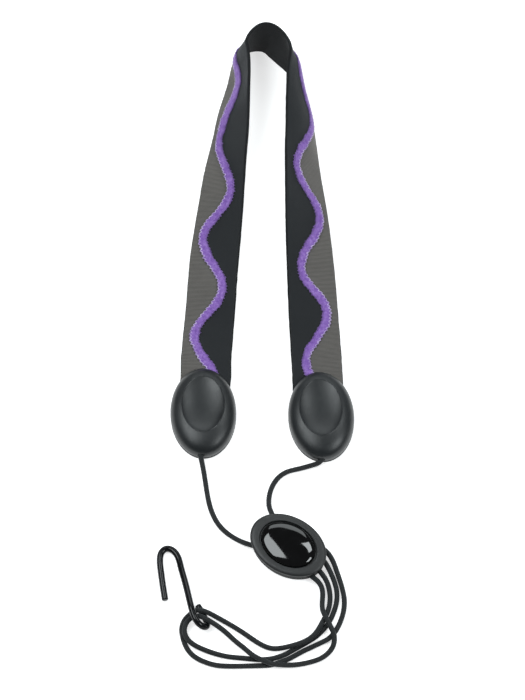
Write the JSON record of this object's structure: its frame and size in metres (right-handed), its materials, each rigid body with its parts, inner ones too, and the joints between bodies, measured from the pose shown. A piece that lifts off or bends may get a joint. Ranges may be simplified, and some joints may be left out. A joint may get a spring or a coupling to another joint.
{
  "type": "saxophone neck strap",
  "caption": "Saxophone neck strap: padded two-tone band with wavy trim, moulded end caps, braided cord laced through a sliding oval adjuster, and an open wire hook.",
  "frame": {"origin": "middle of the strap's footprint (band, caps, adjuster and hook, without the cord), on the surface it lies on", "axes": "+Y from the hook towards the band's top turn, +X to the right seen from above with +Y up, +Z up off the surface"},
  "size_m": [0.1211, 0.4245, 0.0322],
  "materials": {
    "band_webbing": "matte woven webbing",
    "grey_rib_fabric": "matte fine cross rib",
    "black_fabric": "matte close weave",
    "purple_trim": "napped, hand-cut edge",
    "cap_plastic": "satin moulded",
    "adjuster_plastic": "satin moulded",
    "badge_gloss": "polished",
    "hook_coating": "gloss black coating on steel wire",
    "cord_braid": "braided round cord",
    "screw_steel": "zinc plated",
    "stop_metal": "crimped"
  },
  "bodies": {
    "neck_loop": {"band_webbing": "band_webbing", "band_outer_panel": "grey_rib_fabric", "band_inner_panel": "black_fabric", "band_wave_trim": "purple_trim", "left_cap_shell": "cap_plastic", "left_cap_base": "cap_plastic", "left_cap_screw_upper": "screw_steel", "left_cap_screw_lower": "screw_steel", "left_cord_stop": "stop_metal", "right_cap_shell": "cap_plastic", "right_cap_base": "cap_plastic", "right_cap_screw_upper": "screw_steel", "right_cap_screw_lower": "screw_steel", "right_cord_stop": "stop_metal", "cord_upper_left": "cord_braid", "cord_upper_right": "cord_braid"},
    "adjuster": {"adjuster_tray": "adjuster_plastic", "adjuster_cover": "adjuster_plastic", "adjuster_badge": "badge_gloss", "adjuster_screw_1": "screw_steel", "adjuster_screw_2": "screw_steel", "cord_inside_left": "cord_braid", "cord_inside_right": "cord_braid", "cord_inside_return": "cord_braid", "cord_run_front_outgoing": "cord_braid", "cord_run_front_returning": "cord_braid", "cord_run_rear_outgoing": "cord_braid", "cord_run_rear_returning": "cord_braid"},
    "cord_loops": {"cord_bight_inner": "cord_braid", "cord_bight_outer": "cord_braid"},
    "hook": {"hook": "hook_coating"}
  },
  "joints": [
    {"name": "adjuster_slide", "type": "slide", "parent": "neck_loop", "child": "adjuster", "axis": [-0.8386, 0.5447, 0], "range_m": [-0.045, 0.06], "deforming": ["cord_upper_left", "cord_upper_right"]},
    {"name": "hook_travel", "type": "slide", "parent": "adjuster", "child": "cord_loops", "axis": [-0.8386, 0.5447, 0], "range_m": [-0.03, 0.0225], "deforming": ["cord_run_front_outgoing", "cord_run_front_returning", "cord_run_rear_outgoing", "cord_run_rear_returning"]},
    {"name": "hook_swing", "type": "hinge", "parent": "cord_loops", "child": "hook", "pos_m": [-0.03508, -0.18917, 0.00575], "axis": [0.8928, 0.4062, 0.1947], "range_deg": [0, 150], "deforming": ["cord_bight_inner", "cord_bight_outer"]}
  ],
  "couplings": [
    {"joint": "hook_travel", "follows": "adjuster_slide", "ratio": -0.5}
  ]
}
